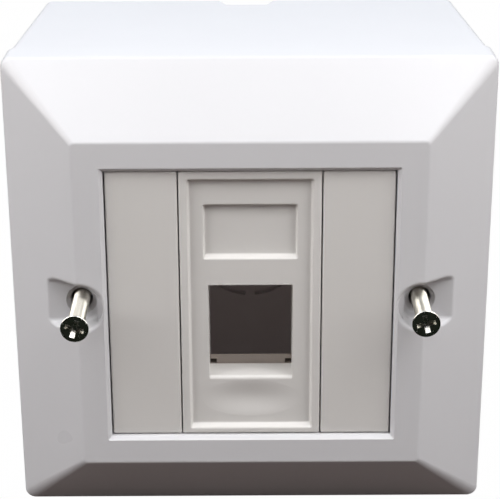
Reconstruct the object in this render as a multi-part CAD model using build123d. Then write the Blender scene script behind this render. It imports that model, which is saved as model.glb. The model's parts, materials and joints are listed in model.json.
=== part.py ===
from build123d import *
import math
import os

# Fibre termination box: a square surface box with a bevelled face plate that carries three
# snap-in inserts, and the fibre-management pieces screwed to the back wall inside.
#
# Every piece is first drawn face up: x to the right, y up the wall, z out of the wall, with
# z = 0 on the wall. turn_to_wall() then stands it up, so that in the finished row +X is to
# the right, +Z is up, and +Y goes into the wall.

# ---------------------------------------------------------------- driving dimensions, mm
TOTAL_DEPTH = 62.0              # wall to the flat of the face plate
PLATE = 86.0                    # face plate, square
PLATE_CORNER = 1.8
FACE = 61.0                     # flat of the plate inside its bevel, square
FACE_CORNER = 0.8
BEVEL_DEPTH = 9.5
RIM_DEPTH = 7.2
FACE_ROUND = 0.8                # rounding between the flat, the bevel and the screw pockets
RIM_ROUND = 1.0                 # rounding between the bevel and the rim
BACK_ROUND = 0.35               # rounding where plate and box meet
PLATE_WALL = 2.0
BOX_FRONT = 85.2                # outside of the box at its open front
BOX_BACK = 82.6                 # outside of the box at the wall, smaller by the draft
BOX_CORNER = 1.5
BOX_WALL = 2.2
BACK_WALL = 2.0
LUG_PITCH = 60.3                # centres of the two face plate screws
OPENING = 50.5                  # square opening for the inserts
OPENING_CHAMFER = 0.7
INSERT_GAP = 0.25               # between neighbouring inserts, and to the opening
INSERT_SINK = 0.95              # insert faces sit below the flat of the plate
BLANK_WIDE = 12.4
FLANGE = 3.0                    # thickness of an insert's front flange
LEFT_HEAD_OUT = 8.6             # screw heads stand out of the plate, part unscrewed
RIGHT_HEAD_OUT = 7.2
LEFT_TURNED = -18.0             # degrees that each screw has been turned
RIGHT_TURNED = 14.0
SLOT_PITCH = 50.0               # wall-fixing slots, both ways
SLOT_LENGTH = 9.0
SLOT_WIDE = 4.4

# ---------------------------------------------------------------- sizes that follow
BOX_DEPTH = TOTAL_DEPTH - BEVEL_DEPTH - RIM_DEPTH
BEVEL_START = BOX_DEPTH + RIM_DEPTH
BEVEL_RUN = (PLATE - FACE) / 2
LUG_X = LUG_PITCH / 2
INSERT_FACE = TOTAL_DEPTH - INSERT_SINK
FLANGE_BACK = INSERT_FACE - FLANGE
INSERT_HIGH = OPENING - 2 * INSERT_GAP
MODULE_WIDE = OPENING - 4 * INSERT_GAP - 2 * BLANK_WIDE
BLANK_X = OPENING / 2 - INSERT_GAP - BLANK_WIDE / 2

# ---------------------------------------------------------------- sizes of single pieces
# screw pockets in the face plate
POCKET_R = 4.15
POCKET_FLOOR = TOTAL_DEPTH - 4.3
POCKET_ROUND = 0.8              # between the floor of a pocket and its walls
POCKET_WALL = 1.5
POCKET_FLOOR_THICK = 2.4
COUNTERSINK_R = 2.75
CLEARANCE_R = 2.0
POST_R = 3.8
POST_END = BOX_DEPTH + 0.1

# plate screws and the brass inserts they run in
SCREW_R = 1.5
SCREW_LENGTH = 30.0
HEAD_R = 2.45
HEAD_RIM = 0.25
TIP_LENGTH = 0.6
TIP_R = 1.05
CROSS_SPAN = 3.3
CROSS_WIDE = 0.85
CROSS_DEPTH = 1.3
INSERT_R = 2.5
INSERT_BORE_R = 1.54
INSERT_LENGTH = 6.0
INSERT_GROOVE_WIDE = 1.0
INSERT_GROOVE_DEEP = 0.35
BOSS_R = 4.5
BOSS_TOP = BOX_DEPTH - 0.3
BOSS_WEB = 3.0
RELIEF_BOTTOM = 22.0            # the boss is hollow below the insert, for the screw's tip
RELIEF_R = 1.8
FIT_GAP = 0.02

# ledge behind the opening, which the insert flanges rest on, and the inserts' skirts
LEDGE_HALF = 22.9
LEDGE_TOP = FLANGE_BACK - 0.05
LEDGE_THICK = 2.0
COLLAR_WALL = 1.8
COLLAR_END = 52.0
SKIRT_HALF = LEDGE_HALF - 0.2
SKIRT_END = 52.6
SKIRT_WALL = 1.2
INSERT_SHELL = 1.9              # thickness of an insert's face
RIB_R = 0.3
LIP_DEPTH = 2.0                 # the plate's locating lip reaches this far into the box
LIP_WALL = 1.2
LIP_PLAY = 0.15

# keystone module
EDGE_ROUND = 0.3                # moulded edges of the inserts
PANEL = (21.2, 46.55)           # sunken panel, then its mouth at the border's face
PANEL_MOUTH = (21.9, 47.45)
PANEL_Y, PANEL_MOUTH_Y = -0.025, -0.225
PANEL_BRIM = 0.45
PANEL_SINK = 1.0
LABEL = (16.1, 9.2)             # label field, then its mouth at the panel
LABEL_MOUTH = (16.4, 10.0)
LABEL_Y, LABEL_MOUTH_Y = 13.8, 13.6
LABEL_SINK = 1.0
LABEL_BRIM = 0.35
KEYSTONE_WIDE = 14.9
KEYSTONE_TOP = 3.7              # top and bottom of the aperture, from the centre
KEYSTONE_BOTTOM = -14.1
KEYSTONE_WALL = 1.4
TUNNEL_END = 51.2
SILL_ROUND = 0.6                # front edge of the aperture's floor
LIP_HIGH = 1.8                  # lower retaining lip at the back of the tunnel
LIP_FRONT = 54.3
LIP_THICK = 1.9
LIP_SLOPE = 0.9
LIP_RELIEF = (1.2, 0.9)         # small gaps at the ends of the lower lip
UPPER_LIP = 1.0
SCOOP_HALF = (10.1, 4.1)        # shallow hollow under the aperture
SCOOP_SINK = 0.45
SCOOP_Y = KEYSTONE_BOTTOM - 4.3

# cable notch in the top wall, against the wall behind
NOTCH_X = -0.5
NOTCH_MOUTH = 11.0
NOTCH_FLOOR = 8.2
NOTCH_DEPTH = 4.4
NOTCH_GATE_Y = 33.0             # the back wall is open from here up to the notch

# oblong knock-out in the back wall
KNOCKOUT_R = 12.0
KNOCKOUT_HALF_HIGH = 22.5
KNOCKOUT_CUT = 1.0
KNOCKOUT_SKIN = 0.5             # left at the bottom of the groove, to be broken out
KNOCKOUT_WEB = 2.0

# fibre guides
GUIDE_IN = 12.8
GUIDE_OUT = 25.0
GUIDE_HALF_HIGH = 20.0
GUIDE_FLOOR = 3.0               # height of the bosses that guides and splice holder stand on
GUIDE_THICK = 1.5
GUIDE_TOP = GUIDE_FLOOR + GUIDE_THICK
GUIDE_R = 22.0
GUIDE_WALL = 1.2
GUIDE_HIGH = 8.0
GUIDE_SWEEP = 78.0
GUIDE_TAB = (4.2, 5.0)
GUIDE_TAB_THICK = 1.2
GUIDE_TAB_ANGLE = 24.0
GUIDE_HOOK_Y = GUIDE_HALF_HIGH - 2.6
GUIDE_SCREW_X = 17.0
GUIDE_SCREW_Y = 17.0
GUIDE_BOSS_R = 2.6

# splice holder, sleeves and their steel rods
SPLICE_Y = 35.6
SPLICE_MIDDLE = SPLICE_Y - 1.0
SPLICE_PITCH = 3.4
SPLICE_R = 1.4
SPLICE_LENGTH = 40.0
SPLICE_ROD_R = 0.5
SPLICE_ROD_DROP = 0.62          # steel rod's axis below the sleeve's axis
SPLICE_FIBRE_R = 0.3
SPLICE_FIBRE_RISE = 0.6
SPLICE_DECK = 9.0
SPLICE_DECK_THICK = 1.5
SPLICE_AXIS = SPLICE_DECK + SPLICE_DECK_THICK + SPLICE_R + 0.3
SPLICE_LEG_X = 15.0
SPLICE_FOOT = (6.8, 6.0)
SPLICE_COMB = (3.0, 7.0)
SPLICE_COMB_X = 9.0
SPLICE_COMB_TOP = SPLICE_DECK + 5.2

# cable clamp, its screws and its rubber pad
CLAMP_Y = 27.4
CLAMP_WIDE = 7.0                # along the cable
CLAMP_SCREW_X = 8.0
CLAMP_BOSS_R = 3.0
CLAMP_BOSS_TOP = 6.0
CLAMP_UNDER = 6.6
CLAMP_THICK = 1.6
CLAMP_ARCH_R = 3.6
CLAMP_CABLE_R = 1.9
CLAMP_AXIS = CLAMP_UNDER - 0.6
PAD_WIDE = 8.0
PAD_THICK = 1.4
PAD_RIB_WIDE = 0.8
PAD_RIB_RISE = 0.5
PAD_RIB_PITCH = 2.2

# small screws: (head radius, head height, shank radius, length), and the bores they cut into
SMALL_SCREW = (2.0, 1.3, 0.95, 3.6)
SMALL_BORE_R, SMALL_BORE_BOTTOM = 0.97, 0.7
SMALL_HOLE_R = 1.2
CLAMP_SCREW = (2.4, 1.6, 1.22, 5.6)
CLAMP_BORE_R, CLAMP_BORE_BOTTOM = 1.27, 0.8
CLAMP_HOLE_R = 1.36

OVER = 1.0                      # how far cutters run past the surfaces they cut


# ---------------------------------------------------------------- shared helpers
def turn_to_wall(shape):
    """Stand a face-up piece against the wall: z out of the wall becomes -Y, y becomes +Z."""
    return Rot(90, 0, 0) * shape


def slab(wide, high, bottom, top, x=0.0, y=0.0, corner=0.0):
    """A rectangular block, with round corners in plan if corner is given."""
    outline = RectangleRounded(wide, high, corner) if corner else Rectangle(wide, high)
    return extrude(Pos(x, y, bottom) * outline, amount=top - bottom)


def rod(radius, bottom, top, x=0.0, y=0.0):
    return Pos(x, y, (bottom + top) / 2) * Cylinder(radius, top - bottom)


def tapered(low, high):
    """A solid between two (width, height, corner, z, x, y) rectangles."""
    faces = [Pos(x, y, z) * RectangleRounded(w, h, r) for w, h, r, z, x, y in (low, high)]
    return loft(Sketch() + faces)


def edges_at(shape, z, tolerance=0.01):
    """The edges that lie flat at one height."""
    found = []
    for edge in shape.edges():
        reach = edge.bounding_box()
        if abs(reach.min.Z - z) < tolerance and abs(reach.max.Z - z) < tolerance:
            found.append(edge)
    return found


def bar(radius, length, y, z):
    """A round bar along x, centred on x = 0."""
    return Pos(0, y, z) * Rot(0, 90, 0) * Cylinder(radius, length)


def sides():
    """-1 for the left-hand copy of a piece, +1 for the right-hand one."""
    return (-1, 1)


# ---------------------------------------------------------------- back box
def box_half(z):
    """Half the outside width of the box at a height above the wall."""
    return (BOX_BACK + (BOX_FRONT - BOX_BACK) * z / BOX_DEPTH) / 2


def box_shell():
    outer = tapered((BOX_BACK, BOX_BACK, BOX_CORNER, 0, 0, 0),
                    (BOX_FRONT, BOX_FRONT, BOX_CORNER, BOX_DEPTH, 0, 0))
    outer = fillet(edges_at(outer, BOX_DEPTH), BACK_ROUND)
    low = 2 * (box_half(BACK_WALL) - BOX_WALL)
    high = 2 * (box_half(BOX_DEPTH) - BOX_WALL)
    inner = tapered((low, low, 1.0, BACK_WALL, 0, 0), (high, high, 1.0, BOX_DEPTH, 0, 0))
    return outer - inner


def lug_boss(side):
    """Column for a plate screw, tied to the side wall by a web."""
    web_out = box_half(BOX_DEPTH) - BOX_WALL + 0.1
    web_in = LUG_X + BOSS_R - OVER
    web_top = BOX_DEPTH - 2.5
    web = slab(web_out - web_in, BOSS_WEB, BACK_WALL / 2, web_top, side * (web_out + web_in) / 2)
    return rod(BOSS_R, BACK_WALL / 2, BOSS_TOP, side * LUG_X) + web


def lug_hole(side):
    bottom = BOSS_TOP - INSERT_LENGTH - FIT_GAP
    pocket = rod(INSERT_R + FIT_GAP, bottom, BOSS_TOP + OVER, side * LUG_X)
    return pocket + rod(RELIEF_R, RELIEF_BOTTOM, BOSS_TOP, side * LUG_X)


def knockout_cut():
    """Oblong groove broken by four webs, cut from inside, so that the middle can be pushed out."""
    def oblong(radius):
        straight = 2 * (KNOCKOUT_HALF_HIGH - KNOCKOUT_R)
        return SlotCenterToCenter(straight, 2 * radius, rotation=90)

    ring = oblong(KNOCKOUT_R) - oblong(KNOCKOUT_R - KNOCKOUT_CUT)
    webs = Rectangle(KNOCKOUT_WEB, 60) + Rectangle(60, KNOCKOUT_WEB)
    return extrude(Pos(0, 0, KNOCKOUT_SKIN) * (ring - webs), amount=BACK_WALL)


def cable_notch():
    """Tapered notch through the top wall, and the gate below it through the back wall."""
    top = box_half(0) + 2
    half_mouth, half_floor = NOTCH_MOUTH / 2, NOTCH_FLOOR / 2
    profile = Polygon((-half_mouth, 0), (half_mouth, 0), (half_floor, NOTCH_DEPTH),
                      (-half_floor, NOTCH_DEPTH), align=None)
    profile = fillet(profile.vertices().group_by(Axis.Y)[-1], 0.7)
    plane = Plane(origin=(NOTCH_X, top, 0), x_dir=(1, 0, 0), z_dir=(0, -1, 0))
    return extrude(plane * profile, amount=top - NOTCH_GATE_Y)


def clamp_screw_places():
    return [(side * CLAMP_SCREW_X, CLAMP_Y) for side in sides()]


def guide_screw_places():
    return [(x * GUIDE_SCREW_X, y * GUIDE_SCREW_Y) for x in sides() for y in sides()]


def splice_screw_places():
    return [(side * SPLICE_LEG_X, SPLICE_Y) for side in sides()]


def wall_slots():
    places = [(x * SLOT_PITCH / 2, y * SLOT_PITCH / 2) for x in sides() for y in sides()]
    slot = SlotOverall(SLOT_LENGTH, SLOT_WIDE)
    return [extrude(Pos(x, y, -OVER) * slot, amount=BACK_WALL + 2 * OVER) for x, y in places]


def make_back_box():
    box = box_shell()
    for side in sides():
        box += lug_boss(side)
    for x, y in clamp_screw_places():
        box += rod(CLAMP_BOSS_R, BACK_WALL / 2, CLAMP_BOSS_TOP, x, y)
    small_places = guide_screw_places() + splice_screw_places()
    for x, y in small_places:
        box += rod(GUIDE_BOSS_R, BACK_WALL / 2, GUIDE_FLOOR, x, y)
    for side in sides():
        box -= lug_hole(side)
    for x, y in clamp_screw_places():
        box -= rod(CLAMP_BORE_R, CLAMP_BORE_BOTTOM, CLAMP_BOSS_TOP + OVER, x, y)
    for x, y in small_places:
        box -= rod(SMALL_BORE_R, SMALL_BORE_BOTTOM, GUIDE_FLOOR + OVER, x, y)
    box -= knockout_cut()
    box -= cable_notch()
    for slot in wall_slots():
        box -= slot
    return box


def make_lug_inserts():
    """Brass inserts pressed into the two bosses: a grooved sleeve with a plain-modelled bore."""
    sleeves = []
    bottom = BOSS_TOP - INSERT_LENGTH
    groove_low = BOSS_TOP - (INSERT_LENGTH + INSERT_GROOVE_WIDE) / 2
    for side in sides():
        x = side * LUG_X
        sleeve = rod(INSERT_R, bottom, BOSS_TOP, x)
        groove = rod(INSERT_R + OVER, groove_low, groove_low + INSERT_GROOVE_WIDE, x)
        groove -= rod(INSERT_R - INSERT_GROOVE_DEEP, bottom, BOSS_TOP, x)
        bore = rod(INSERT_BORE_R, bottom - OVER, BOSS_TOP + OVER, x)
        sleeves.append(sleeve - groove - bore)
    return Compound(children=sleeves)


# ---------------------------------------------------------------- face plate
def pocket_plan(side, radius, z):
    """U shape round the left or right screw at one height, open towards the plate's edge."""
    turn = 0 if side > 0 else 180
    outline = Circle(radius) + Pos(PLATE / 8, 0) * Rectangle(PLATE / 4, 2 * radius)
    return Pos(side * LUG_X, 0, z) * (Rot(0, 0, turn) * outline)


def screw_pocket(side):
    """Pocket cut through the bevel, its walls rounded into its floor."""
    pocket = extrude(pocket_plan(side, POCKET_R, POCKET_FLOOR), amount=2 * BEVEL_DEPTH)
    return fillet(edges_at(pocket, POCKET_FLOOR), POCKET_ROUND)


def screw_hole(side):
    """Countersunk clearance hole in the floor of a pocket."""
    depth = COUNTERSINK_R - CLEARANCE_R
    cone = Pos(side * LUG_X, 0, POCKET_FLOOR - depth / 2) * Cone(CLEARANCE_R, COUNTERSINK_R, depth)
    mouth = rod(COUNTERSINK_R, POCKET_FLOOR, POCKET_FLOOR + OVER, side * LUG_X)
    return cone + mouth + rod(CLEARANCE_R, BOX_DEPTH - OVER, POCKET_FLOOR, side * LUG_X)


def pocket_slope_edges(form):
    """The edges where the pockets break out through the bevel."""
    found = []
    for edge in form.edges():
        middle = edge @ 0.5
        out = abs(middle.X) - FACE / 2
        bevel_z = TOTAL_DEPTH - out * BEVEL_DEPTH / BEVEL_RUN
        by_pocket = out > 0.05 and abs(middle.Y) < POCKET_R + 0.1 and middle.Z > POCKET_FLOOR - 0.1
        if by_pocket and abs(middle.Z - bevel_z) < 0.03:
            found.append(edge)
    return found


def plate_form():
    """The outside of the plate: a square rim, a deep bevel, the flat and the two screw pockets."""
    rim = slab(PLATE, PLATE, BOX_DEPTH, BEVEL_START, corner=PLATE_CORNER)
    bevel = tapered((PLATE, PLATE, PLATE_CORNER, BEVEL_START, 0, 0),
                    (FACE, FACE, FACE_CORNER, TOTAL_DEPTH, 0, 0))
    form = rim + bevel
    for side in sides():
        form -= screw_pocket(side)
    form = fillet(edges_at(form, TOTAL_DEPTH) + pocket_slope_edges(form), FACE_ROUND)
    form = fillet(edges_at(form, BEVEL_START), RIM_ROUND)
    return fillet(edges_at(form, BOX_DEPTH), BACK_ROUND)


def plate_hollow():
    """The inside of the plate: the outside moved in by the wall thickness."""
    slope = math.hypot(BEVEL_RUN, BEVEL_DEPTH)
    normal_x, normal_z = BEVEL_DEPTH / slope, BEVEL_RUN / slope
    face = FACE + 2 * PLATE_WALL * (normal_z - 1) / normal_x
    rim = PLATE - 2 * PLATE_WALL
    rim_z = TOTAL_DEPTH - (PLATE_WALL + (rim - FACE) / 2 * normal_x) / normal_z
    inside = slab(rim, rim, BOX_DEPTH - OVER, rim_z, corner=1.0)
    return inside + tapered((rim, rim, 1.0, rim_z, 0, 0),
                            (face, face, FACE_CORNER, TOTAL_DEPTH - PLATE_WALL, 0, 0))


def pocket_housing(side, form):
    """Material round a pocket and the post below it, kept inside the outline of the plate."""
    plan = pocket_plan(side, POCKET_R + POCKET_WALL, POCKET_FLOOR - POCKET_FLOOR_THICK)
    walls = extrude(plan, amount=2 * BEVEL_DEPTH)
    return (walls & form) + rod(POST_R, POST_END, POCKET_FLOOR - OVER, side * LUG_X)


def opening_collar():
    """Frame behind the opening, and the ledges that the inserts rest on."""
    outer = OPENING + 2 * COLLAR_WALL
    return slab(outer, outer, COLLAR_END, TOTAL_DEPTH - PLATE_WALL / 2, corner=1.0)


def opening_cut():
    """The square opening, its front chamfer, and the narrower way through past the ledges."""
    cut = slab(OPENING, OPENING, LEDGE_TOP, TOTAL_DEPTH + OVER)
    cut += slab(OPENING, 2 * LEDGE_HALF, COLLAR_END - OVER, LEDGE_TOP)
    wide = OPENING + 2 * OPENING_CHAMFER
    cut += tapered((OPENING, OPENING, 0.05, TOTAL_DEPTH - OPENING_CHAMFER, 0, 0),
                   (wide, wide, 0.3, TOTAL_DEPTH, 0, 0))
    ledge_bottom = LEDGE_TOP - LEDGE_THICK
    for end in sides():
        y = end * (OPENING / 2 + LEDGE_HALF) / 2
        cut += slab(OPENING, OPENING / 2 - LEDGE_HALF, COLLAR_END - OVER, ledge_bottom, y=y)
    return cut


def locating_lip():
    """Low ring inside the rim that drops into the mouth of the box."""
    mouth = 2 * (box_half(BOX_DEPTH) - BOX_WALL - LIP_PLAY)
    root = PLATE - PLATE_WALL
    ring = slab(mouth, mouth, BOX_DEPTH - LIP_DEPTH, BOX_DEPTH + FIT_GAP, corner=1.0)
    ring += slab(root, root, BOX_DEPTH, BOX_DEPTH + LIP_DEPTH, corner=1.0)
    inside = mouth - 2 * LIP_WALL
    return ring - slab(inside, inside, 0, TOTAL_DEPTH, corner=0.5)


def make_front_plate():
    form = plate_form()
    plate = form - plate_hollow()
    plate += opening_collar()
    plate += locating_lip()
    for side in sides():
        plate += pocket_housing(side, form)
    plate -= opening_cut()
    for side in sides():
        plate -= screw_hole(side)
    return plate


# ---------------------------------------------------------------- inserts
def crush_ribs(x, wide):
    """Small ribs on the skirt, just clear of the ledges that hold the insert in."""
    places = [(x + k * wide / 4, end * (SKIRT_HALF - 0.4 * RIB_R)) for end in sides() for k in (-1, 1)]
    return [rod(RIB_R, SKIRT_END + 2 * RIB_R, FLANGE_BACK, rib_x, y) for rib_x, y in places]


def insert_blank(x, wide):
    """A flange with a hollow skirt behind it, the body that all three inserts share."""
    flange = slab(wide, INSERT_HIGH, FLANGE_BACK, INSERT_FACE, x=x, corner=EDGE_ROUND)
    flange = fillet(edges_at(flange, INSERT_FACE), EDGE_ROUND)
    skirt = slab(wide, 2 * SKIRT_HALF, SKIRT_END, FLANGE_BACK + 0.1, x=x, corner=EDGE_ROUND)
    inner_wide, inner_high = wide - 2 * SKIRT_WALL, 2 * (SKIRT_HALF - SKIRT_WALL)
    hollow = slab(inner_wide, inner_high, SKIRT_END - OVER, INSERT_FACE - INSERT_SHELL, x=x, corner=0.4)
    body = flange + skirt - hollow
    for rib in crush_ribs(x, wide):
        body += rib
    return body


def make_blank(side):
    return insert_blank(side * BLANK_X, BLANK_WIDE)


def module_panel():
    """Sunken panel inside a raised border, with a sunken label field in it."""
    field = INSERT_FACE - PANEL_SINK
    label = field - LABEL_SINK
    panel = tapered((*PANEL, EDGE_ROUND, field, 0, PANEL_Y),
                    (*PANEL_MOUTH, EDGE_ROUND, INSERT_FACE, 0, PANEL_MOUTH_Y))
    panel = fillet(edges_at(panel, field), EDGE_ROUND)
    panel += slab(*PANEL_MOUTH, INSERT_FACE, INSERT_FACE + OVER, y=PANEL_MOUTH_Y, corner=EDGE_ROUND)
    window = tapered((*LABEL, EDGE_ROUND, label, 0, LABEL_Y),
                     (*LABEL_MOUTH, EDGE_ROUND, field, 0, LABEL_MOUTH_Y))
    window = fillet(edges_at(window, label), EDGE_ROUND)
    mouth = slab(*LABEL_MOUTH, field, field + LABEL_SINK, y=LABEL_MOUTH_Y, corner=EDGE_ROUND)
    return panel + window + mouth


def panel_brim(body):
    """The sharp front edges round the sunken panel."""
    half_wide, half_high = PANEL_MOUTH[0] / 2 + 0.5, PANEL_MOUTH[1] / 2 + 0.5
    return [e for e in edges_at(body, INSERT_FACE)
            if abs(e.center().X) < half_wide and abs(e.center().Y) < half_high]


def label_brim(body):
    """The sharp front edges round the label field."""
    low = LABEL_MOUTH_Y - LABEL_MOUTH[1] / 2 - 0.5
    high = LABEL_MOUTH_Y + LABEL_MOUTH[1] / 2 + 0.5
    return [e for e in edges_at(body, INSERT_FACE - PANEL_SINK) if low < e.center().Y < high]


def finger_scoop():
    """Shallow bowl under the aperture that fades into the panel, where a fingertip fits."""
    rise = 0.02                     # keeps the bowl's rim from lying exactly in the panel
    bowl = []
    for k in range(9):
        sink = (SCOOP_SINK + rise) * (1 + math.cos(math.pi * k / 8)) / 2
        bowl.append((k / 8, rise - sink))
    section = Spline(*bowl, tangents=((1, 0), (1, 0)))
    section += Polyline(bowl[-1], (1, SCOOP_SINK), (0, SCOOP_SINK), bowl[0])
    dish = revolve(Plane.XZ * make_face(section), Axis.Z)
    dish = scale(dish, by=(*SCOOP_HALF, 1))
    return Pos(0, SCOOP_Y, INSERT_FACE - PANEL_SINK) * dish


def keystone_way():
    """The aperture, with the front edge of its floor rounded over."""
    middle = (KEYSTONE_TOP + KEYSTONE_BOTTOM) / 2
    high = KEYSTONE_TOP - KEYSTONE_BOTTOM
    field = INSERT_FACE - PANEL_SINK
    way = slab(KEYSTONE_WIDE, high, TUNNEL_END - 2 * OVER, TOTAL_DEPTH + OVER, y=middle)
    edge_y = KEYSTONE_BOTTOM - SILL_ROUND / 2
    edge = slab(KEYSTONE_WIDE, SILL_ROUND, field - SILL_ROUND, field + OVER, y=edge_y)
    edge -= bar(SILL_ROUND, KEYSTONE_WIDE, KEYSTONE_BOTTOM - SILL_ROUND, field - SILL_ROUND)
    return way + edge


def keystone_tunnel():
    middle = (KEYSTONE_TOP + KEYSTONE_BOTTOM) / 2
    wide = KEYSTONE_WIDE + 2 * KEYSTONE_WALL
    high = KEYSTONE_TOP - KEYSTONE_BOTTOM + 2 * KEYSTONE_WALL
    return slab(wide, high, TUNNEL_END, INSERT_FACE - INSERT_SHELL + 0.5, y=middle, corner=0.4)


def label_backing():
    """Thickens the face behind the label field."""
    wide, high = LABEL_MOUTH[0] + 2, LABEL_MOUTH[1] + 2.5
    return slab(wide, high, FLANGE_BACK, INSERT_FACE - INSERT_SHELL, y=LABEL_MOUTH_Y)


def keystone_lips():
    """The jack's foot hooks behind the lower lip and its latch behind the upper one."""
    root, top, back = KEYSTONE_BOTTOM - 0.2, KEYSTONE_BOTTOM + LIP_HIGH, LIP_FRONT - LIP_THICK
    ramp = Polygon((top - LIP_SLOPE, back), (top, LIP_FRONT), (root, LIP_FRONT), (root, back), align=None)
    wide = KEYSTONE_WIDE + 0.4
    side_on = Plane(origin=(-wide / 2, 0, 0), x_dir=(0, 1, 0), z_dir=(1, 0, 0))
    lower = extrude(side_on * ramp, amount=wide, dir=(1, 0, 0))
    for side in sides():
        x, y = side * (KEYSTONE_WIDE - LIP_RELIEF[0]) / 2, KEYSTONE_BOTTOM + LIP_RELIEF[1] / 2
        lower -= slab(*LIP_RELIEF, back - OVER, LIP_FRONT + OVER, x=x, y=y)
    upper_y = KEYSTONE_TOP + 0.3 - (UPPER_LIP + 0.3) / 2
    upper = slab(wide, UPPER_LIP + 0.3, TUNNEL_END, TUNNEL_END + LIP_THICK, y=upper_y)
    return [lower, upper]


def make_keystone_module():
    body = insert_blank(0, MODULE_WIDE)
    body += keystone_tunnel() + label_backing()
    body -= module_panel()
    body = fillet(panel_brim(body), PANEL_BRIM)
    body = fillet(label_brim(body), LABEL_BRIM)
    body -= finger_scoop()
    body -= keystone_way()
    for lip in keystone_lips():
        body += lip
    return body


# ---------------------------------------------------------------- plate screws
def cross_recess(head_z):
    """Cross-shaped driver recess, narrowing towards its bottom."""
    cut = None
    for turn in (0, 90):
        floor = Rectangle(CROSS_SPAN * 0.3, CROSS_WIDE * 0.6)
        mouth = Rectangle(CROSS_SPAN, CROSS_WIDE)
        low = Pos(0, 0, head_z - CROSS_DEPTH) * Rot(0, 0, turn) * floor
        high = Pos(0, 0, head_z + FIT_GAP) * Rot(0, 0, turn) * mouth
        blade = loft(Sketch() + [low, high])
        cut = blade if cut is None else cut + blade
    return cut


def plate_screw(side, head_out, turned):
    """Countersunk cross-head screw, drawn at its part-unscrewed rest place."""
    head_z = TOTAL_DEPTH + head_out
    cone_depth = HEAD_R - SCREW_R
    cone_bottom = head_z - HEAD_RIM - cone_depth
    tip = head_z - SCREW_LENGTH
    screw = rod(HEAD_R, head_z - HEAD_RIM, head_z)
    screw += Pos(0, 0, cone_bottom + cone_depth / 2) * Cone(SCREW_R, HEAD_R, cone_depth)
    screw += rod(SCREW_R, tip + TIP_LENGTH, cone_bottom)
    screw += Pos(0, 0, tip + TIP_LENGTH / 2) * Cone(TIP_R, SCREW_R, TIP_LENGTH)
    screw -= Rot(0, 0, turned) * cross_recess(head_z)
    return Pos(side * LUG_X, 0, 0) * screw


# ---------------------------------------------------------------- fibre guides
def arc_wall(radius, wall, sweep, bottom, high):
    """A curved wall round the box's centre, on the +x side."""
    ring = Circle(radius) - Circle(radius - wall)
    half = math.radians(sweep / 2)
    out, up = 2 * radius * math.cos(half), 2 * radius * math.sin(half)
    wedge = Polygon((0, 0), (out, -up), (2 * radius, -up), (2 * radius, up), (out, up), align=None)
    return extrude(Pos(0, 0, bottom) * (ring & wedge), amount=high)


def guide_hook(end):
    """A post with a hook at the outer corner of a guide, to keep slack fibre in."""
    y = end * GUIDE_HOOK_Y
    top = GUIDE_TOP + GUIDE_HIGH - 2
    post = slab(1.4, 4.0, GUIDE_TOP - 0.2, top, x=GUIDE_OUT - 0.8, y=y)
    return post + slab(3.6, 4.0, top - GUIDE_TAB_THICK, top, x=GUIDE_OUT - 1.9, y=y, corner=0.5)


def fibre_guide():
    """Right-hand guide: a floor, a curved wall that limits the bend, retaining tabs and hooks."""
    middle = (GUIDE_IN + GUIDE_OUT) / 2
    guide = slab(GUIDE_OUT - GUIDE_IN, 2 * GUIDE_HALF_HIGH, GUIDE_FLOOR, GUIDE_TOP, x=middle, corner=1.5)
    guide += arc_wall(GUIDE_R, GUIDE_WALL, GUIDE_SWEEP, GUIDE_TOP - 0.2, GUIDE_HIGH + 0.2)
    top = GUIDE_TOP + GUIDE_HIGH
    for angle in (-GUIDE_TAB_ANGLE, GUIDE_TAB_ANGLE):
        tab = slab(*GUIDE_TAB, top - GUIDE_TAB_THICK, top, x=GUIDE_R + 0.9, corner=0.8)
        guide += Rot(0, 0, angle) * tab
    for end in sides():
        guide += guide_hook(end)
        guide -= rod(SMALL_HOLE_R, 0, GUIDE_TOP + OVER, GUIDE_SCREW_X, end * GUIDE_SCREW_Y)
    return guide


def make_fibre_guide(side):
    guide = fibre_guide()
    return guide if side > 0 else mirror(guide, Plane.YZ)


def pan_screw(x, y, under, size):
    """Pan-head screw with a cross recess; its head sits on the height named by under."""
    head_r, head_high, shank_r, length = size
    top = under + head_high
    head = rod(head_r, under, top, x, y)
    head = fillet(edges_at(head, top), head_high * 0.45)
    arm = (head_r * 1.1, head_r * 0.28)
    cross = Rectangle(*arm) + Rectangle(arm[1], arm[0])
    recess = extrude(Pos(x, y, under + head_high * 0.45) * cross, amount=head_high)
    return head + rod(shank_r, under - length, under + 0.1, x, y) - recess


def make_guide_screws():
    return Compound(children=[pan_screw(x, y, GUIDE_TOP, SMALL_SCREW) for x, y in guide_screw_places()])


# ---------------------------------------------------------------- splice holder
def splice_axes():
    """The y of each splice sleeve's axis, side by side on the deck."""
    return [SPLICE_MIDDLE + side * SPLICE_PITCH / 2 for side in sides()]


def splice_leg(side):
    """A foot on the back wall, and the upright that carries the deck."""
    wide, high = SPLICE_FOOT
    foot = slab(wide, high, GUIDE_FLOOR, GUIDE_TOP, x=side * SPLICE_LEG_X, y=SPLICE_Y, corner=0.8)
    upright_x = side * (SPLICE_LEG_X - wide / 2 + 0.6)
    return foot + slab(1.2, high, GUIDE_FLOOR, SPLICE_DECK + 0.5, x=upright_x, y=SPLICE_Y)


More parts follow.
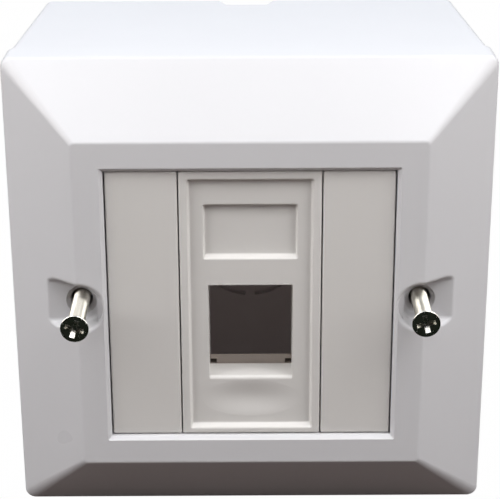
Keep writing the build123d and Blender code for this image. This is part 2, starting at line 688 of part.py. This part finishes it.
def make_splice_holder():
    """Bridge over the incoming cable: two feet, a deck, and two combs with a groove per splice."""
    wide, high = SPLICE_FOOT
    deck_top = SPLICE_DECK + SPLICE_DECK_THICK
    holder = slab(2 * SPLICE_LEG_X + wide, high, SPLICE_DECK, deck_top, y=SPLICE_Y, corner=1.0)
    for side in sides():
        comb_x, screw_x = side * SPLICE_COMB_X, side * SPLICE_LEG_X
        holder += splice_leg(side)
        holder += slab(*SPLICE_COMB, deck_top - 0.5, SPLICE_COMB_TOP, x=comb_x, y=SPLICE_MIDDLE, corner=0.6)
        holder -= rod(SMALL_HOLE_R, 0, GUIDE_TOP + OVER, screw_x, SPLICE_Y)
        holder -= rod(GUIDE_BOSS_R, SPLICE_DECK - OVER, deck_top + OVER, screw_x, SPLICE_Y)
    for y in splice_axes():
        mouth = slab(SPLICE_LENGTH, 2 * SPLICE_R - 0.3, SPLICE_AXIS, SPLICE_COMB_TOP + OVER, y=y)
        holder -= bar(SPLICE_R + 0.06, SPLICE_LENGTH, y, SPLICE_AXIS) + mouth
    return holder


def make_splice_sleeves():
    """Heat-shrink sleeves, each with one bore for the fibre and one round the steel rod."""
    sleeves = []
    for y in splice_axes():
        sleeve = bar(SPLICE_R, SPLICE_LENGTH, y, SPLICE_AXIS)
        rod_way = bar(SPLICE_ROD_R + FIT_GAP, SPLICE_LENGTH + OVER, y, SPLICE_AXIS - SPLICE_ROD_DROP)
        fibre_way = bar(SPLICE_FIBRE_R, SPLICE_LENGTH + OVER, y, SPLICE_AXIS + SPLICE_FIBRE_RISE)
        sleeves.append(sleeve - rod_way - fibre_way)
    return Compound(children=sleeves)


def make_splice_rods():
    rod_z = SPLICE_AXIS - SPLICE_ROD_DROP
    return Compound(children=[bar(SPLICE_ROD_R, SPLICE_LENGTH - OVER, y, rod_z) for y in splice_axes()])


def make_splice_screws():
    return Compound(children=[pan_screw(x, y, GUIDE_TOP, SMALL_SCREW) for x, y in splice_screw_places()])


# ---------------------------------------------------------------- cable clamp
def clamp_bore(radius, length):
    """A round bar along y, on the cable's axis."""
    return Pos(0, CLAMP_Y, CLAMP_AXIS) * Rot(90, 0, 0) * Cylinder(radius, length)


def make_cable_clamp():
    """Saddle that presses the incoming cable down, arched over the cable's path."""
    wide = 2 * CLAMP_SCREW_X + 6.4
    top = CLAMP_UNDER + CLAMP_THICK
    clamp = slab(wide, CLAMP_WIDE, CLAMP_UNDER, top, y=CLAMP_Y, corner=1.2)
    above = slab(3 * CLAMP_ARCH_R, CLAMP_WIDE, CLAMP_UNDER, CLAMP_UNDER + CLAMP_ARCH_R, y=CLAMP_Y)
    clamp += clamp_bore(CLAMP_ARCH_R, CLAMP_WIDE) & above
    clamp -= clamp_bore(CLAMP_CABLE_R, CLAMP_WIDE + OVER)
    for x, y in clamp_screw_places():
        clamp -= rod(CLAMP_HOLE_R, 0, top + OVER, x, y)
    return clamp


def make_clamp_screws():
    top = CLAMP_UNDER + CLAMP_THICK
    return Compound(children=[pan_screw(x, y, top, CLAMP_SCREW) for x, y in clamp_screw_places()])


def make_clamp_pad():
    """Ribbed rubber pad under the cable."""
    top = BACK_WALL + PAD_THICK
    pad = slab(PAD_WIDE, CLAMP_WIDE, BACK_WALL, top, y=CLAMP_Y, corner=0.6)
    for k in (-1, 0, 1):
        y = CLAMP_Y + k * PAD_RIB_PITCH
        pad += slab(PAD_WIDE - OVER, PAD_RIB_WIDE, top - 0.2, top + PAD_RIB_RISE, y=y, corner=0.3)
    return pad


# ---------------------------------------------------------------- write every piece
PIECES = {
    "back_box": make_back_box,
    "lug_inserts": make_lug_inserts,
    "front_plate": make_front_plate,
    "left_blank": lambda: make_blank(-1),
    "right_blank": lambda: make_blank(1),
    "keystone_module": make_keystone_module,
    "left_plate_screw": lambda: plate_screw(-1, LEFT_HEAD_OUT, LEFT_TURNED),
    "right_plate_screw": lambda: plate_screw(1, RIGHT_HEAD_OUT, RIGHT_TURNED),
    "left_fibre_guide": lambda: make_fibre_guide(-1),
    "right_fibre_guide": lambda: make_fibre_guide(1),
    "guide_screws": make_guide_screws,
    "splice_holder": make_splice_holder,
    "splice_holder_screws": make_splice_screws,
    "splice_sleeves": make_splice_sleeves,
    "splice_rods": make_splice_rods,
    "cable_clamp": make_cable_clamp,
    "clamp_screws": make_clamp_screws,
    "clamp_pad": make_clamp_pad,
}

os.makedirs("parts", exist_ok=True)
for node, make in PIECES.items():
    export_step(turn_to_wall(make()), "parts/" + node + ".step")
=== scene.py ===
import json
import math

import bmesh
import bpy
from mathutils import Matrix, Vector


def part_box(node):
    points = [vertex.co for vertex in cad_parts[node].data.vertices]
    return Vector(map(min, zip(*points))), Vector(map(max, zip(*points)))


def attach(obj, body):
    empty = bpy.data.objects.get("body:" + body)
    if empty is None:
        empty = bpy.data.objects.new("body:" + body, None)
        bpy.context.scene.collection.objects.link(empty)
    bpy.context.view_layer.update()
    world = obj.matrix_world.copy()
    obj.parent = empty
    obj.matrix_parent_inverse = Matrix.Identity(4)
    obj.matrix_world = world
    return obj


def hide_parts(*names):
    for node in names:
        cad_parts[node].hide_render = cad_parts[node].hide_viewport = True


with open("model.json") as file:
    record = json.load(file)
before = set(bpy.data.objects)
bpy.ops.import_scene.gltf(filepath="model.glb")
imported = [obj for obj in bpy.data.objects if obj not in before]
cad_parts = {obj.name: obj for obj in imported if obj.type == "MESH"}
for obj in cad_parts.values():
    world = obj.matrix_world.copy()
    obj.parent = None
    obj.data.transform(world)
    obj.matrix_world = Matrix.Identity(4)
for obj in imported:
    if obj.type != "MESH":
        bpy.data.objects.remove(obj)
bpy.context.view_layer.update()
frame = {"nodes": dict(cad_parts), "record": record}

MM = 0.001

# ---------------------------------------------------------------- node helpers


def rgba(value):
    """A grey level or a colour, as an opaque colour."""
    if isinstance(value, (int, float)):
        return (value, value, value, 1.0)
    return tuple(value) + (1.0,)


class Nodes:
    """A node tree, with short calls for building it."""

    def __init__(self, tree):
        self.tree = tree

    def add(self, kind):
        return self.tree.nodes.new("ShaderNode" + kind)

    def link(self, source, target):
        self.tree.links.new(source, target)

    def maths(self, operation, *values):
        """A math node; each value is a number or another node's output."""
        node = self.add("Math")
        node.operation = operation
        for socket, value in zip(node.inputs, values):
            if isinstance(value, (int, float)):
                socket.default_value = value
            else:
                self.link(value, socket)
        return node.outputs[0]

    def axes(self, vector):
        """The x, y and z of a vector."""
        split = self.add("SeparateXYZ")
        self.link(vector, split.inputs[0])
        return tuple(split.outputs)


class Shader(Nodes):
    """A material and the patterns used in it."""

    def __init__(self, name):
        self.material = bpy.data.materials.new(name)
        self.material.use_nodes = True
        super().__init__(self.material.node_tree)
        self.bsdf = self.tree.nodes["Principled BSDF"]
        self.coords = self.add("TexCoord").outputs["Object"]

    def noise(self, size_mm, detail=3.0, stretch=None):
        """Noise whose features are about size_mm wide."""
        node = self.add("TexNoise")
        node.inputs["Scale"].default_value = 1.0 / (size_mm * MM)
        node.inputs["Detail"].default_value = detail
        source = self.coords
        if stretch:
            mapping = self.add("Mapping")
            mapping.inputs["Scale"].default_value = stretch
            self.link(source, mapping.inputs["Vector"])
            source = mapping.outputs["Vector"]
        self.link(source, node.inputs["Vector"])
        return node.outputs["Fac"]

    def ramp(self, source, low, high, start=0.3, stop=0.7):
        """Maps a grey value onto two colours, or two grey levels."""
        node = self.add("ValToRGB")
        first, last = node.color_ramp.elements
        first.position, last.position = start, stop
        first.color, last.color = rgba(low), rgba(high)
        self.link(source, node.inputs["Fac"])
        return node.outputs["Color"]

    def bump(self, source, height_mm, under=None):
        """The surface normal over bumps, which may lie on top of other bumps."""
        node = self.add("Bump")
        node.inputs["Strength"].default_value = 1.0
        node.inputs["Distance"].default_value = height_mm * MM
        self.link(source, node.inputs["Height"])
        if under is not None:
            self.link(under, node.inputs["Normal"])
        return node.outputs["Normal"]

    def within(self, low, high):
        """1 inside a box whose corners are in mm in the piece's own frame, 0 outside it."""
        inside = 1.0
        for axis, start, stop in zip(self.axes(self.coords), low, high):
            middle, half = (start + stop) / 2 * MM, (stop - start) / 2 * MM
            inside = self.maths("MULTIPLY", inside, self.maths("COMPARE", axis, middle, half))
        return inside

    def tinted(self, colour, tint, amount):
        """The colour multiplied by a tint: not at all at amount 0, fully at amount 1."""
        node = self.add("Mix")
        node.data_type = "RGBA"
        node.blend_type = "MULTIPLY"
        self.link(amount, node.inputs["Factor"])
        colours = [socket for socket in node.inputs if socket.type == "RGBA"]
        self.link(colour, colours[0])
        colours[1].default_value = rgba(tint)
        return next(socket for socket in node.outputs if socket.type == "RGBA")

    def surface(self, colour, roughness, normal, **values):
        """Puts the patterns on the surface, sets its other values and gives the material."""
        self.link(colour, self.bsdf.inputs["Base Color"])
        self.link(roughness, self.bsdf.inputs["Roughness"])
        self.link(normal, self.bsdf.inputs["Normal"])
        for key, value in values.items():
            self.bsdf.inputs[key.replace("_", " ")].default_value = value
        return self.material


# ---------------------------------------------------------------- materials

# Widths and depths of the patterns are in mm.
PLASTIC_CLOUD = 17.0
PLASTIC_GLOSS = 11.0
PLASTIC_SINK = 12.0
PLASTIC_GRAIN, PLASTIC_GRAIN_DEPTH = 0.5, 0.0012
SLOW = (0.1, 0.9)               # ramp ends for a slow change over the noise's whole range

METAL_STAIN = 0.9
METAL_WEAR = 0.4
TOOL_MARK, TOOL_MARK_DEPTH = 0.12, 0.002

THREAD_GRIME, GRIME_TINT = 0.7, (0.8, 0.78, 0.7)
THREAD_WEAR = 0.5
# Painted shade in the thread's valleys: they are darker than the ridges, by the mesh's pointiness
# between these values.
VALLEY_TO_RIDGE = (0.46, 0.53)  # pointiness of the mesh there

SLEEVE_CLOUD = 5.0
SLEEVE_GLOSS = 1.5
SLEEVE_RIPPLE, SLEEVE_RIPPLE_DEPTH = 1.6, 0.03
ALONG_SLEEVE = (0.35, 1.0, 1.0)

RUBBER_DUST = 1.2
RUBBER_GLOSS = 0.8
RUBBER_GRAIN, RUBBER_GRAIN_DEPTH = 0.15, 0.01

# Painted shade on the module's lower lip: this tint darkens the plastic inside the box whose corners
# follow.
LIP_SHADE_TINT = (0.40, 0.35, 0.32)
LIP_SHADE_LOW, LIP_SHADE_HIGH = (-7.6, 5.55, -9.05), (7.6, 7.85, -6.9)  # corners, from the aperture's mount


def mount_place(name):
    """Where one of the record's mounts is, in mm."""
    mount = next(mount for mount in frame["record"]["mounts"] if mount["name"] == name)
    return Vector(mount["pos_m"]) / MM


def moulded_plastic(name, light, dark, rough=(0.27, 0.33), sink_depth=0.012, painted_shade_box=None):
    """Moulded plastic: faint cloudy tone, slow sink marks, fine orange-peel grain, uneven gloss.

    The optional box, low corner and high corner in mm, is where painted shade darkens the plastic to a
    dark beige."""
    s = Shader(name)
    tone = s.ramp(s.noise(PLASTIC_CLOUD, detail=1.0), dark, light, *SLOW)
    # Painted shade: inside the box the plastic is darkened by the tint.
    if painted_shade_box:
        tone = s.tinted(tone, LIP_SHADE_TINT, s.within(*painted_shade_box))
    gloss = s.ramp(s.noise(PLASTIC_GLOSS, detail=1.0), *rough, *SLOW)
    sinks = s.bump(s.noise(PLASTIC_SINK, detail=1.0), sink_depth)
    grain = s.bump(s.noise(PLASTIC_GRAIN, detail=2.0), PLASTIC_GRAIN_DEPTH, under=sinks)
    return s.surface(tone, gloss, grain, IOR=1.5)


def plated_steel(name, light, dark, rough=(0.14, 0.28)):
    """Bright metal with fine tool marks and slightly stained patches."""
    s = Shader(name)
    stains = s.ramp(s.noise(METAL_STAIN, detail=5.0), dark, light, stop=0.6)
    wear = s.ramp(s.noise(METAL_WEAR, detail=4.0), *rough)
    return s.surface(stains, wear, s.bump(s.noise(TOOL_MARK), TOOL_MARK_DEPTH), Metallic=1.0)


def threaded_steel(name, ridge, valley):
    """Plated thread: worn bright ridges, painted shade darkening the valleys, and patches of grime."""
    s = Shader(name)
    pointed = s.add("NewGeometry").outputs["Pointiness"]
    # Painted shade: darker in the valleys, lighter on the ridges, by pointiness.
    tone = s.ramp(pointed, valley, ridge, *VALLEY_TO_RIDGE)
    grime_and_valley_shade = s.tinted(tone, GRIME_TINT, s.noise(THREAD_GRIME, detail=4.0))
    wear = s.ramp(s.noise(THREAD_WEAR, detail=4.0), 0.34, 0.46)
    return s.surface(grime_and_valley_shade, wear, s.bump(s.noise(TOOL_MARK), TOOL_MARK_DEPTH), Metallic=1.0)


def clear_sleeve(name):
    """Clear heat-shrink tube: part see-through, with a faint shrink ripple along it."""
    s = Shader(name)
    tone = s.ramp(s.noise(SLEEVE_CLOUD), (0.86, 0.89, 0.92), (0.93, 0.95, 0.96))
    gloss = s.ramp(s.noise(SLEEVE_GLOSS), 0.16, 0.28)
    ripple = s.bump(s.noise(SLEEVE_RIPPLE, stretch=ALONG_SLEEVE), SLEEVE_RIPPLE_DEPTH)
    return s.surface(tone, gloss, ripple, IOR=1.45, Transmission_Weight=0.7)


def rubber_black(name):
    """Black rubber, dusty in places, with a fine grain."""
    s = Shader(name)
    dust = s.ramp(s.noise(RUBBER_DUST, detail=5.0), 0.022, 0.045)
    gloss = s.ramp(s.noise(RUBBER_GLOSS), 0.55, 0.75)
    return s.surface(dust, gloss, s.bump(s.noise(RUBBER_GRAIN), RUBBER_GRAIN_DEPTH))


# Box round the lower lip of the module's aperture, where the plastic gets painted shade.
aperture = mount_place("keystone_aperture")
LIP_SHADE_BOX = aperture + Vector(LIP_SHADE_LOW), aperture + Vector(LIP_SHADE_HIGH)

# The valley colour is painted shade in the thread's valleys.
THREAD_STEEL = threaded_steel("thread_steel", ridge=(0.86, 0.84, 0.79), valley=(0.34, 0.31, 0.24))

FINISHES = {
    "box_plastic": moulded_plastic("box_white", (0.80, 0.80, 0.82), (0.785, 0.785, 0.805)),
    # The insert plastic has painted shade on the lower lip of its aperture.
    "insert_plastic": moulded_plastic("insert_white", (0.84, 0.824, 0.80), (0.825, 0.809, 0.783),
                                      rough=(0.34, 0.44), sink_depth=0.03, painted_shade_box=LIP_SHADE_BOX),
    "screw_plate": plated_steel("screw_plate", (0.80, 0.79, 0.75), (0.62, 0.60, 0.54)),
    "brass": plated_steel("brass", (0.80, 0.60, 0.26), (0.62, 0.44, 0.17), rough=(0.22, 0.34)),
    "guide_plastic": moulded_plastic("guide_white", (0.76, 0.76, 0.74), (0.72, 0.72, 0.70),
                                     rough=(0.42, 0.55)),
    "small_screws": plated_steel("small_steel", (0.72, 0.72, 0.74), (0.58, 0.58, 0.60),
                                 rough=(0.25, 0.38)),
    "shrink_sleeve": clear_sleeve("shrink"),
    "rod_steel": plated_steel("drawn_steel", (0.66, 0.66, 0.68), (0.52, 0.52, 0.54),
                              rough=(0.28, 0.4)),
    "pad_rubber": rubber_black("rubber"),
}


def finish_frame_nodes():
    """Gives every CAD node the finish of its material slot."""
    for part in frame["record"]["subparts"]:
        mesh = frame["nodes"][part["node"]].data
        mesh.materials.clear()
        mesh.materials.append(FINISHES[part["material_slot"]])


# ---------------------------------------------------------------- object and mesh helpers


def add_object(name, data):
    """A new object in the scene, made of a mesh, a light or a camera."""
    obj = bpy.data.objects.new(name, data)
    bpy.context.scene.collection.objects.link(obj)
    return obj


def add_piece(name, mesh, body, slot, replaced):
    """Adds a finished mesh as a piece on a body, in place of a CAD node."""
    piece = add_object(name, mesh)
    mesh.materials.append(FINISHES[slot])
    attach(piece, body)
    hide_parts(replaced)
    return piece


def mesh_of(name, points, faces):
    mesh = bpy.data.meshes.new(name)
    mesh.from_pydata(points, [], faces)
    mesh.validate()
    return mesh


def skin_rings(name, rings):
    """A closed tube through rings of points, with a flat cap at each end."""
    around = len(rings[0])
    points = [point for ring in rings for point in ring]
    faces = [tuple(range(around)), tuple(reversed(range(len(points) - around, len(points))))]
    for k in range(len(rings) - 1):
        low, high = k * around, (k + 1) * around
        for i in range(around):
            j = (i + 1) % around
            faces.append((low + i, high + i, high + j, low + j))
    return mesh_of(name, points, faces)


def cut_away(obj, cutter):
    """Takes the cutter's shape out of the object's mesh, and the cutter out of the scene."""
    cut = obj.modifiers.new("cut", "BOOLEAN")
    cut.operation, cut.solver, cut.object = "DIFFERENCE", "EXACT", cutter
    bpy.context.view_layer.update()
    evaluated = obj.evaluated_get(bpy.context.evaluated_depsgraph_get())
    baked = bpy.data.meshes.new_from_object(evaluated)
    obj.modifiers.clear()
    obj.data = baked
    bpy.data.objects.remove(cutter)


def smooth_by_angle(mesh, degrees):
    """Smooth shading everywhere but across edges sharper than the angle."""
    bm = bmesh.new()
    bm.from_mesh(mesh)
    bmesh.ops.recalc_face_normals(bm, faces=bm.faces)
    for edge in bm.edges:
        edge.smooth = edge.calc_face_angle(math.pi) < math.radians(degrees)
    for face in bm.faces:
        face.smooth = True
    bm.to_mesh(mesh)
    bm.free()


# ---------------------------------------------------------------- plate screws

# Sizes are in mm. Depths are measured from the top of the head.
HEAD_R = 2.45
HEAD_EDGE = 0.06                # broken edge round the top of the head
HEAD_RIM = 0.25                 # straight rim, before the cone
HEAD_FOOT = 0.15                # from the end of the cone to the neck
CONE_STEPS = 4
PLAIN_NECK = 0.5                # from the head to the start of the thread
THREAD_R = 1.49
ROOT_R = 1.21
PITCH = 0.5
ROOT_FLAT, FLANKS = 0.18, 0.68  # shares of the pitch; the rest is the crest
POINT = 0.9                     # end of the screw, without thread
TIP = 0.15                      # bevel at the very end
TIP_SHARES = (0.72, 0.5)        # of the root's radius, at the two ends of the bevel
STEPS_PER_PITCH = 8
AROUND = 40
SCREW_CREASE = 35               # degrees; sharper edges stay sharp

CROSS_SPAN = 3.3
CROSS_WIDE = 0.85
CROSS_DEPTH = 1.35
# (depth, share of the full span) from above the head to the bottom of the recess
CROSS_SECTIONS = ((-0.3, 1.08), (0.0, 1.0), (CROSS_DEPTH * 0.75, 0.45), (CROSS_DEPTH, 0.3))
LEFT_TURN, RIGHT_TURN = -18.0, 14.0     # degrees that each cross is turned from upright


def clamp(value):
    return min(max(value, 0.0), 1.0)


def thread_radius(depth, turn, start, stop):
    """Radius of the thread at a depth and a share of a turn; its flanks are about 60 degrees apart."""
    phase = (depth / PITCH - turn) % 1.0
    rise = clamp((abs(phase - 0.5) * 2 - ROOT_FLAT) / FLANKS)
    fade_in = clamp((depth - start) / PITCH)
    fade_out = clamp((stop - depth) / (2 * PITCH))
    return ROOT_R + (THREAD_R - ROOT_R) * rise * fade_in * fade_out


def head_profile():
    """(depth, radius) down the countersunk head, to the plain neck."""
    cone = HEAD_R - THREAD_R
    steps = [cone * k / CONE_STEPS for k in range(CONE_STEPS + 1)]
    return ([(0.0, HEAD_R - HEAD_EDGE), (HEAD_EDGE, HEAD_R)]
            + [(HEAD_RIM + step, HEAD_R - step) for step in steps]
            + [(HEAD_RIM + cone + HEAD_FOOT, ROOT_R)])


def screw_rings(length):
    """Rings of (depth, radius) from the top of the head to the tip."""
    head = head_profile()
    start, stop = head[-1][0] + PLAIN_NECK, length - POINT
    rings = [[station] * AROUND for station in head]
    for k in range(int((stop - start) / PITCH * STEPS_PER_PITCH) + 1):
        depth = start + PITCH * k / STEPS_PER_PITCH
        rings.append([(depth, thread_radius(depth, i / AROUND, start, stop)) for i in range(AROUND)])
    for depth, share in zip((length - TIP, length), TIP_SHARES):
        rings.append([(depth, ROOT_R * share)] * AROUND)
    return rings


def placed(centre, ring):
    """Points of a ring of (depth, radius), about the screw's axis, which runs along y."""
    points = []
    for i, (depth, radius) in enumerate(ring):
        angle = 2 * math.pi * i / AROUND
        points.append(centre + Vector((radius * math.cos(angle), depth, radius * math.sin(angle))) * MM)
    return points


def cross_outline(centre, depth, share, turned):
    """Section of the driver recess: a cross whose arms are a share of their full span."""
    arm, half = CROSS_SPAN / 2 * share, CROSS_WIDE / 2 * (0.5 + share / 2)
    ring = []
    for quarter in range(4):
        spin = Matrix.Rotation(math.radians(90 * quarter + turned), 2)
        for corner in ((arm, -half), (arm, half), (half, half)):
            spot = spin @ Vector(corner)
            ring.append(centre + Vector((spot.x, depth, spot.y)) * MM)
    return ring


def plate_screw(node, turned):
    """Countersunk cross-head machine screw with a helical thread."""
    low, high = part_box(node)
    top = Vector(((low.x + high.x) / 2, low.y, (low.z + high.z) / 2))
    name = node + "_threaded"
    rings = [placed(top, ring) for ring in screw_rings((high.y - low.y) / MM)]
    screw = add_piece(name, skin_rings(name, rings), node, "screw_plate", node)
    recess = [cross_outline(top, depth, share, turned) for depth, share in CROSS_SECTIONS]
    cut_away(screw, add_object("recess", skin_rings("recess", recess)))
    smooth_by_angle(screw.data, SCREW_CREASE)
    screw.data.materials.append(THREAD_STEEL)
    head_depth = head_profile()[-1][0]
    for face in screw.data.polygons:
        if (face.center.y - top.y) / MM > head_depth:
            face.material_index = 1


# ---------------------------------------------------------------- rubber pad

PAD_RIBS = 3
PAD_FOOT, PAD_BODY, PAD_RIB = 0.12, 0.58, 0.28      # shares of the pad's depth
PAD_ROLL = 0.5 * MM             # radius of its rolled edges
RIB_FADE = 1.0 * MM             # the ribs die out over this distance at the sides
PAD_ACROSS, PAD_ALONG = 24, 42  # faces
PAD_CREASE = 50                 # degrees; sharper edges stay sharp


def pad_height(along, from_side, from_end):
    """Height of the pad as a share of its depth; along is a share of its length."""
    roll = 1.0
    for distance in (from_side, from_end):
        roll *= math.sqrt(1 - (1 - min(distance / PAD_ROLL, 1.0)) ** 2)
    rib = 0.5 + 0.5 * math.cos(2 * math.pi * PAD_RIBS * (along - 0.5))
    return PAD_FOOT + roll * (PAD_BODY + PAD_RIB * rib * min(1.0, from_side / RIB_FADE))


def rubber_pad(node, body):
    """Ribbed pad under the cable, with soft rolled edges."""
    low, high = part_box(node)
    wide, deep, tall = high.x - low.x, high.y - low.y, high.z - low.z
    row = PAD_ACROSS + 1
    points, faces = [], []
    for j in range(PAD_ALONG + 1):
        for i in range(row):
            u, v = i / PAD_ACROSS, j / PAD_ALONG
            height = deep * pad_height(v, min(u, 1 - u) * wide, min(v, 1 - v) * tall)
            points.append((low.x + u * wide, high.y - height, low.z + v * tall))
            if i < PAD_ACROSS and j < PAD_ALONG:
                a = j * row + i
                faces.append((a, a + 1, a + 1 + row, a + row))
    border = list(range(row))
    border += [j * row + PAD_ACROSS for j in range(1, PAD_ALONG + 1)]
    border += [PAD_ALONG * row + i for i in reversed(range(PAD_ACROSS))]
    border += [j * row for j in reversed(range(1, PAD_ALONG))]
    base, count = len(points), len(border)
    points += [(points[k][0], high.y, points[k][2]) for k in border]
    for k in range(count):
        following = (k + 1) % count
        faces.append((border[k], base + k, base + following, border[following]))
    faces.append(tuple(range(base, base + count)))
    mesh = mesh_of(node + "_moulded", points, faces)
    smooth_by_angle(mesh, PAD_CREASE)
    add_piece(node + "_moulded", mesh, body, "pad_rubber", node)


# ---------------------------------------------------------------- floor

FLOOR_HALF = 6.0
FLOOR_GAP = 0.5 * MM            # below the plate, which is the lowest piece
PAPER_TONE, PAPER_CLOUD = (0.995, 1.0), 40.0    # the cloud is in mm
BENCH_LIGHT = (0.098, 0.072, 0.066)     # what the floor throws back onto the object
BENCH_MIRRORED = (0.010, 0.013, 0.009)  # what its polished screws mirror


def make_floor(z):
    """Pale paper. Only the camera sees it so light: to the object it is a dark bench."""
    half = FLOOR_HALF
    corners = [(-half, -half, z), (half, -half, z), (half, half, z), (-half, half, z)]
    floor = add_object("floor", mesh_of("floor", corners, [(0, 1, 2, 3)]))
    s = Shader("floor_paper")
    paper = s.add("Emission")
    s.link(s.ramp(s.noise(PAPER_CLOUD), *PAPER_TONE), paper.inputs["Color"])
    bench = s.add("BsdfDiffuse")
    bench.inputs["Color"].default_value = rgba(BENCH_LIGHT)
    mirrored = s.add("Emission")
    mirrored.inputs["Color"].default_value = rgba(BENCH_MIRRORED)
    path = s.add("LightPath")

    def chosen(ray, otherwise, shader):
        """The shader for one kind of ray, the other one for the rest."""
        mix = s.add("MixShader")
        sources = (path.outputs[ray], otherwise.outputs[0], shader.outputs[0])
        for socket, source in zip(mix.inputs, sources):
            s.link(source, socket)
        return mix

    seen = chosen("Is Camera Ray", chosen("Is Glossy Ray", bench, mirrored), paper)
    s.link(seen.outputs[0], s.tree.nodes["Material Output"].inputs["Surface"])
    floor.data.materials.append(s.material)


# ---------------------------------------------------------------- room

# Radiance of a tent round the object: bright above and behind, dark in front and below.
TENT_TOP = 0.68                 # above 55 degrees
TENT_BACK = 0.77                # behind the object, below 55 degrees
TENT_SIDES = 0.40               # left and right, from 30 to 55 degrees
TENT_FRONT = 0.15               # in front, from 30 to 55 degrees
TENT_TINT = (0.945, 1.005, 1.09)
TOP_EDGE = (0.77, 0.87)         # sines of elevation between which the top sets in
LOW_EDGE = (0.42, 0.57)         # and the sides and front
TINY = 0.0001                   # keeps the zenith from a division by zero


class Sky(Nodes):
    """The world's light; x, y and z are the direction a ray comes from."""

    def __init__(self):
        world = bpy.data.worlds.new("room")
        world.use_nodes = True
        super().__init__(world.node_tree)
        self.background = self.tree.nodes["Background"]
        self.x, self.y, self.z = self.axes(self.add("TexCoord").outputs["Generated"])
        bpy.context.scene.world = world

    def step(self, source, low, high):
        """0 below low, 1 above high, smooth between."""
        node = self.add("MapRange")
        node.interpolation_type = "SMOOTHSTEP"
        node.inputs["From Min"].default_value = low
        node.inputs["From Max"].default_value = high
        self.link(source, node.inputs["Value"])
        return node.outputs[0]

    def towards(self, axis, sign):
        """Squared cosine between a direction's compass bearing and a level axis, 0 away from it."""
        squared = self.maths("MULTIPLY", self.z, self.z)
        flat = self.maths("SQRT", self.maths("SUBTRACT", 1.0 + TINY, squared))
        cosine = self.maths("DIVIDE", self.maths("MULTIPLY", axis, sign), flat)
        cosine = self.maths("MAXIMUM", cosine, 0.0)
        return self.maths("MULTIPLY", cosine, cosine)

    def total(self, parts):
        """Sum of weights times strengths."""
        level = 0.0
        for weight, strength in parts:
            level = self.maths("ADD", self.maths("MULTIPLY", weight, strength), level)
        return level


def make_room():
    sky = Sky()
    above = sky.step(sky.z, *TOP_EDGE)
    below = sky.maths("SUBTRACT", 1.0, above)
    middle = sky.maths("MULTIPLY", sky.step(sky.z, *LOW_EDGE), below)
    back = sky.maths("MULTIPLY", sky.towards(sky.y, 1.0), below)
    sides = sky.maths("ADD", sky.towards(sky.x, 1.0), sky.towards(sky.x, -1.0))
    front = sky.towards(sky.y, -1.0)
    level = sky.total([(above, TENT_TOP), (back, TENT_BACK),
                       (sky.maths("MULTIPLY", middle, sides), TENT_SIDES),
                       (sky.maths("MULTIPLY", middle, front), TENT_FRONT)])
    sky.link(level, sky.background.inputs["Strength"])
    sky.background.inputs["Color"].default_value = rgba(TENT_TINT)


# ---------------------------------------------------------------- lights

# Distances and sizes are in metres, powers in watts.
WARM = (1.0, 0.98, 0.965)
BOX_AWAY, BOX_SIZE = 0.4, 0.25
FAR_BOX_AWAY, FAR_BOX_SIZE = 1.0, 0.5
LOW, HIGH = 25, 50              # elevations of the soft boxes, degrees

GLOW_SIZE = 0.05
GLOW_WATTS = 0.0011
GLOW_TINT = (1.0, 0.78, 0.70)
GLOW_DEPTH = 0.016              # behind the flat face of the plate


def square_light(name, place, away, size, watts, tint):
    """A square soft light that shines against the direction called away."""
    data = bpy.data.lights.new(name, "AREA")
    data.shape = "SQUARE"
    data.size, data.energy, data.color = size, watts, tint
    light = add_object(name, data)
    light.location = place
    light.rotation_mode = "QUATERNION"
    light.rotation_quaternion = away.to_track_quat("Z", "Y")


def softbox(name, azimuth, elevation, watts, distance=BOX_AWAY, size=BOX_SIZE):
    """A soft box aimed at the object; azimuth is counted from the front, to the right."""
    across, up = math.radians(azimuth), math.radians(elevation)
    away = Vector((math.sin(across) * math.cos(up), -math.cos(across) * math.cos(up), math.sin(up)))
    square_light(name, away * distance, away, size, watts, WARM)


def make_lights(face_y):
    softbox("low_left", -60, LOW, watts=0.66)
    softbox("low_right", 60, LOW, watts=0.54)
    softbox("high_left", -45, HIGH, watts=0.37)
    softbox("high_right", 45, HIGH, watts=0.43)
    softbox("far_right", 45, HIGH, watts=1.3, distance=FAR_BOX_AWAY, size=FAR_BOX_SIZE)
    # Faint warm light inside the box, as if it soaked through the white walls.
    square_light("inside_glow", (0, face_y + GLOW_DEPTH, 0), Vector((0, -1, 0)),
                 GLOW_SIZE, GLOW_WATTS, GLOW_TINT)


# ---------------------------------------------------------------- camera

CAMERA_TILT = 21.05             # degrees down
CAMERA_YAW = 0.08
CAMERA_ROLL = 0.27
CAMERA_PLACE = (-0.46, -259.5, 111.0)   # mm from the centre of the plate's flat face
CAMERA_SENSOR = 36.0            # mm
CAMERA_LENS = 115.5             # mm
CAMERA_REACH = (0.01, 20.0)     # m, nearest and farthest that it sees


def make_camera(face_y):
    data = bpy.data.cameras.new("camera")
    data.sensor_width, data.lens = CAMERA_SENSOR, CAMERA_LENS
    data.clip_start, data.clip_end = CAMERA_REACH
    camera = add_object("camera", data)
    turn = (Matrix.Rotation(math.radians(CAMERA_ROLL), 3, "Z")
            @ Matrix.Rotation(math.radians(CAMERA_YAW), 3, "Y")
            @ Matrix.Rotation(math.radians(CAMERA_TILT), 3, "X"))
    facing = Matrix.Rotation(math.radians(90), 3, "X") @ turn.transposed()
    place = Vector(CAMERA_PLACE) * MM + Vector((0, face_y, 0))
    camera.matrix_world = Matrix.Translation(place) @ facing.to_4x4()
    bpy.context.scene.camera = camera


# ---------------------------------------------------------------- the scene

finish_frame_nodes()
plate_screw("left_plate_screw", LEFT_TURN)
plate_screw("right_plate_screw", RIGHT_TURN)
rubber_pad("clamp_pad", "back_box")

plate_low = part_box("front_plate")[0]
make_floor(plate_low.z - FLOOR_GAP)
make_room()
make_lights(plate_low.y)
make_camera(plate_low.y)
bpy.context.scene.view_settings.view_transform = "Standard"
